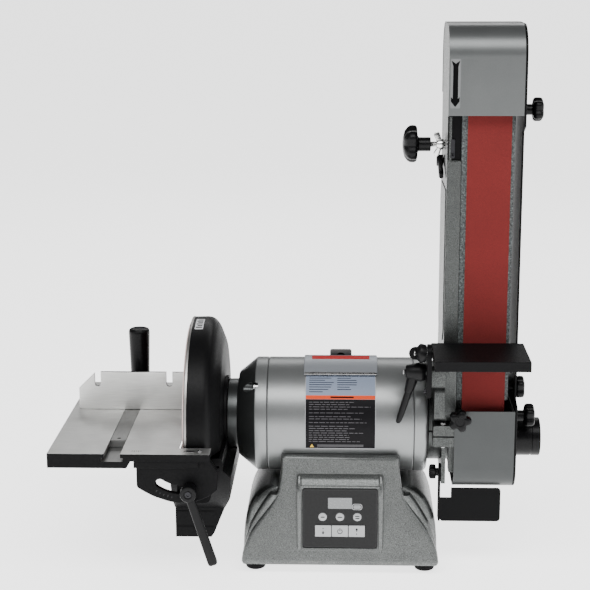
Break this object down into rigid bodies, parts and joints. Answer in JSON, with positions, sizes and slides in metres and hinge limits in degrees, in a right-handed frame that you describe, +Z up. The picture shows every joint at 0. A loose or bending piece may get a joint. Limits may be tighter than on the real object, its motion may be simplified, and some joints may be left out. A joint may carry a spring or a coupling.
{
  "type": "belt disc sander",
  "caption": "Bench belt and disc sander: upright abrasive belt arm with a work rest on one side, guarded disc with a tilting slotted table on the other.",
  "frame": {"origin": "centre of the machine's bounding box, on the bench under its rubber feet", "axes": "+X from the disc to the belt along the motor's axis, +Y away from the operator, +Z up"},
  "size_m": [0.5904, 0.312, 0.661],
  "materials": {
    "hammered_silver": "hammered silver-gray enamel",
    "black_casting": "black crinkle paint on cast iron",
    "black_sheet": "black paint on steel sheet and plate",
    "black_plastic": "moulded black plastic",
    "machined_steel": "ground and machined bare steel",
    "chrome": "bright plate",
    "sheet_gray": "satin gray paint on sheet",
    "red_abrasive": "cloth-backed red abrasive grit",
    "black_rubber": "matte black rubber",
    "graphite_pad": "graphite-coated canvas on a steel platen",
    "white_plastic": "light gray membrane plastic",
    "winding_copper": "laminations with copper windings",
    "white_metal": "brushed plate with a red bar"
  },
  "bodies": {
    "base": {"base_casting": "hammered_silver", "foot_front_left": "black_rubber", "foot_front_right": "black_rubber", "foot_rear_left": "black_rubber", "foot_rear_right": "black_rubber", "bottom_plate": "sheet_gray", "control_panel": "black_plastic", "cord_gland": "black_plastic", "motor_housing": "hammered_silver", "left_end_bell": "hammered_silver", "right_end_bell": "hammered_silver", "left_bearing": "machined_steel", "right_bearing": "machined_steel", "stator": "winding_copper", "badge_plate": "white_metal", "disc_guard": "black_casting", "lower_housing": "black_casting", "dust_chute": "black_casting", "disc_dust_port": "black_plastic"},
    "arbor": {"arbor_shaft": "machined_steel", "rotor": "machined_steel", "disc_plate": "machined_steel", "abrasive_disc": "red_abrasive", "drive_wheel": "machined_steel"},
    "arm": {"arm_frame": "hammered_silver", "platen": "graphite_pad", "sanding_belt": "red_abrasive", "top_cover": "sheet_gray", "bottom_cover": "sheet_gray", "side_cover": "black_sheet", "dust_port": "black_plastic", "rest_bracket": "black_sheet"},
    "idler_bracket": {"idler_bracket": "machined_steel"},
    "idler_wheel": {"idler_wheel": "machined_steel"},
    "tension_lever": {"tension_lever": "black_plastic"},
    "tracking_knob": {"tracking_knob": "black_plastic"},
    "wing_nut": {"wing_nut": "chrome"},
    "upper_cover_knob": {"upper_cover_knob": "black_plastic"},
    "middle_cover_knob": {"middle_cover_knob": "black_plastic"},
    "lower_cover_knob": {"lower_cover_knob": "black_plastic"},
    "front_cover_knob": {"front_cover_knob": "black_plastic"},
    "work_rest": {"work_rest": "black_casting"},
    "rest_tilt_lever": {"rest_tilt_lever": "black_plastic"},
    "rest_bracket_lever": {"rest_bracket_lever": "black_plastic"},
    "spark_deflector": {"spark_deflector": "black_sheet"},
    "deflector_knob": {"deflector_knob": "black_plastic"},
    "table": {"disc_table": "machined_steel", "front_trunnion": "black_casting", "rear_trunnion": "black_casting"},
    "table_lock_lever": {"table_lock_lever": "black_casting"},
    "miter_bar": {"miter_bar": "machined_steel"},
    "miter_head": {"miter_head": "machined_steel", "miter_fence": "machined_steel"},
    "miter_handle": {"miter_handle": "black_plastic"},
    "button_left": {"button_left": "white_plastic"},
    "button_centre": {"button_centre": "white_plastic"},
    "button_right": {"button_right": "white_plastic"},
    "key_slower": {"key_slower": "white_plastic"},
    "key_power": {"key_power": "white_plastic"},
    "key_faster": {"key_faster": "white_plastic"}
  },
  "joints": [
    {"name": "arbor_spin", "type": "hinge", "parent": "base", "child": "arbor", "pos_m": [0.04675, 0.007, 0.178], "axis": [1, 0, 0], "continuous": true},
    {"name": "arm_swing", "type": "hinge", "parent": "base", "child": "arm", "pos_m": [0.16175, 0.007, 0.178], "axis": [-1, 0, 0], "range_deg": [0, 90]},
    {"name": "belt_tension", "type": "slide", "parent": "arm", "child": "idler_bracket", "axis": [0, 0, 1], "range_m": [-0.005, 0]},
    {"name": "idler_spin", "type": "hinge", "parent": "idler_bracket", "child": "idler_wheel", "pos_m": [0.21775, -0.01, 0.603], "axis": [1, 0, 0], "continuous": true},
    {"name": "tension_lever_turn", "type": "hinge", "parent": "arm", "child": "tension_lever", "pos_m": [0.16475, 0.005, 0.497], "axis": [1, 0, 0], "range_deg": [0, 60]},
    {"name": "tracking_knob_turn", "type": "hinge", "parent": "arm", "child": "tracking_knob", "pos_m": [0.13675, -0.008, 0.518], "axis": [1, 0, 0], "continuous": true},
    {"name": "wing_nut_turn", "type": "hinge", "parent": "arm", "child": "wing_nut", "pos_m": [0.16375, -0.008, 0.518], "axis": [1, 0, 0], "continuous": true},
    {"name": "upper_cover_knob_turn", "type": "hinge", "parent": "arm", "child": "upper_cover_knob", "pos_m": [0.25875, 0.023, 0.556], "axis": [1, 0, 0], "continuous": true},
    {"name": "middle_cover_knob_turn", "type": "hinge", "parent": "arm", "child": "middle_cover_knob", "pos_m": [0.25875, -0.043, 0.228], "axis": [1, 0, 0], "continuous": true},
    {"name": "lower_cover_knob_turn", "type": "hinge", "parent": "arm", "child": "lower_cover_knob", "pos_m": [0.25875, -0.023, 0.186], "axis": [1, 0, 0], "continuous": true},
    {"name": "front_cover_knob_turn", "type": "hinge", "parent": "arm", "child": "front_cover_knob", "pos_m": [0.18795, -0.073, 0.201], "axis": [0, 1, 0], "continuous": true},
    {"name": "rest_tilt", "type": "hinge", "parent": "arm", "child": "work_rest", "pos_m": [0.15425, -0.088, 0.282], "axis": [1, 0, 0], "range_deg": [-20, 45]},
    {"name": "rest_tilt_lever_turn", "type": "hinge", "parent": "arm", "child": "rest_tilt_lever", "pos_m": [0.14795, -0.088, 0.282], "axis": [1, 0, 0], "range_deg": [-5, 100]},
    {"name": "rest_bracket_lever_turn", "type": "hinge", "parent": "arm", "child": "rest_bracket_lever", "pos_m": [0.14795, -0.073, 0.255], "axis": [1, 0, 0], "range_deg": [-100, 0]},
    {"name": "spark_deflector_tilt", "type": "hinge", "parent": "arm", "child": "spark_deflector", "pos_m": [0.16775, -0.045, 0.12], "axis": [1, 0, 0], "range_deg": [-20, 15]},
    {"name": "deflector_knob_turn", "type": "hinge", "parent": "arm", "child": "deflector_knob", "pos_m": [0.16175, -0.045, 0.12], "axis": [1, 0, 0], "continuous": true},
    {"name": "table_tilt", "type": "hinge", "parent": "base", "child": "table", "pos_m": [-0.13875, 0.007, 0.173], "axis": [0, -1, 0], "range_deg": [0, 45]},
    {"name": "table_lock_lever_turn", "type": "hinge", "parent": "base", "child": "table_lock_lever", "pos_m": [-0.12929, -0.156, 0.12849], "axis": [0, 1, 0], "range_deg": [-40, 40]},
    {"name": "miter_slide", "type": "slide", "parent": "table", "child": "miter_bar", "axis": [0, 1, 0], "range_m": [-0.06, 0.06]},
    {"name": "miter_swivel", "type": "hinge", "parent": "miter_bar", "child": "miter_head", "pos_m": [-0.21875, 0.055, 0.173], "axis": [0, 0, 1], "range_deg": [-60, 60]},
    {"name": "miter_handle_turn", "type": "hinge", "parent": "miter_head", "child": "miter_handle", "pos_m": [-0.21375, 0.077, 0.18], "axis": [0, 0, 1], "continuous": true},
    {"name": "button_left_press", "type": "slide", "parent": "base", "child": "button_left", "axis": [0, 1, 0], "range_m": [0, 0.001], "stiffness_N_per_m": 200},
    {"name": "button_centre_press", "type": "slide", "parent": "base", "child": "button_centre", "axis": [0, 1, 0], "range_m": [0, 0.001], "stiffness_N_per_m": 200},
    {"name": "button_right_press", "type": "slide", "parent": "base", "child": "button_right", "axis": [0, 1, 0], "range_m": [0, 0.001], "stiffness_N_per_m": 200},
    {"name": "key_slower_press", "type": "slide", "parent": "base", "child": "key_slower", "axis": [0, 1, 0], "range_m": [0, 0.001], "stiffness_N_per_m": 200},
    {"name": "key_power_press", "type": "slide", "parent": "base", "child": "key_power", "axis": [0, 1, 0], "range_m": [0, 0.001], "stiffness_N_per_m": 200},
    {"name": "key_faster_press", "type": "slide", "parent": "base", "child": "key_faster", "axis": [0, 1, 0], "range_m": [0, 0.001], "stiffness_N_per_m": 200}
  ],
  "couplings": [
    {"joint": "idler_spin", "follows": "arbor_spin", "ratio": 1.34},
    {"joint": "tension_lever_turn", "follows": "belt_tension", "rad_per_m": -209.44}
  ]
}
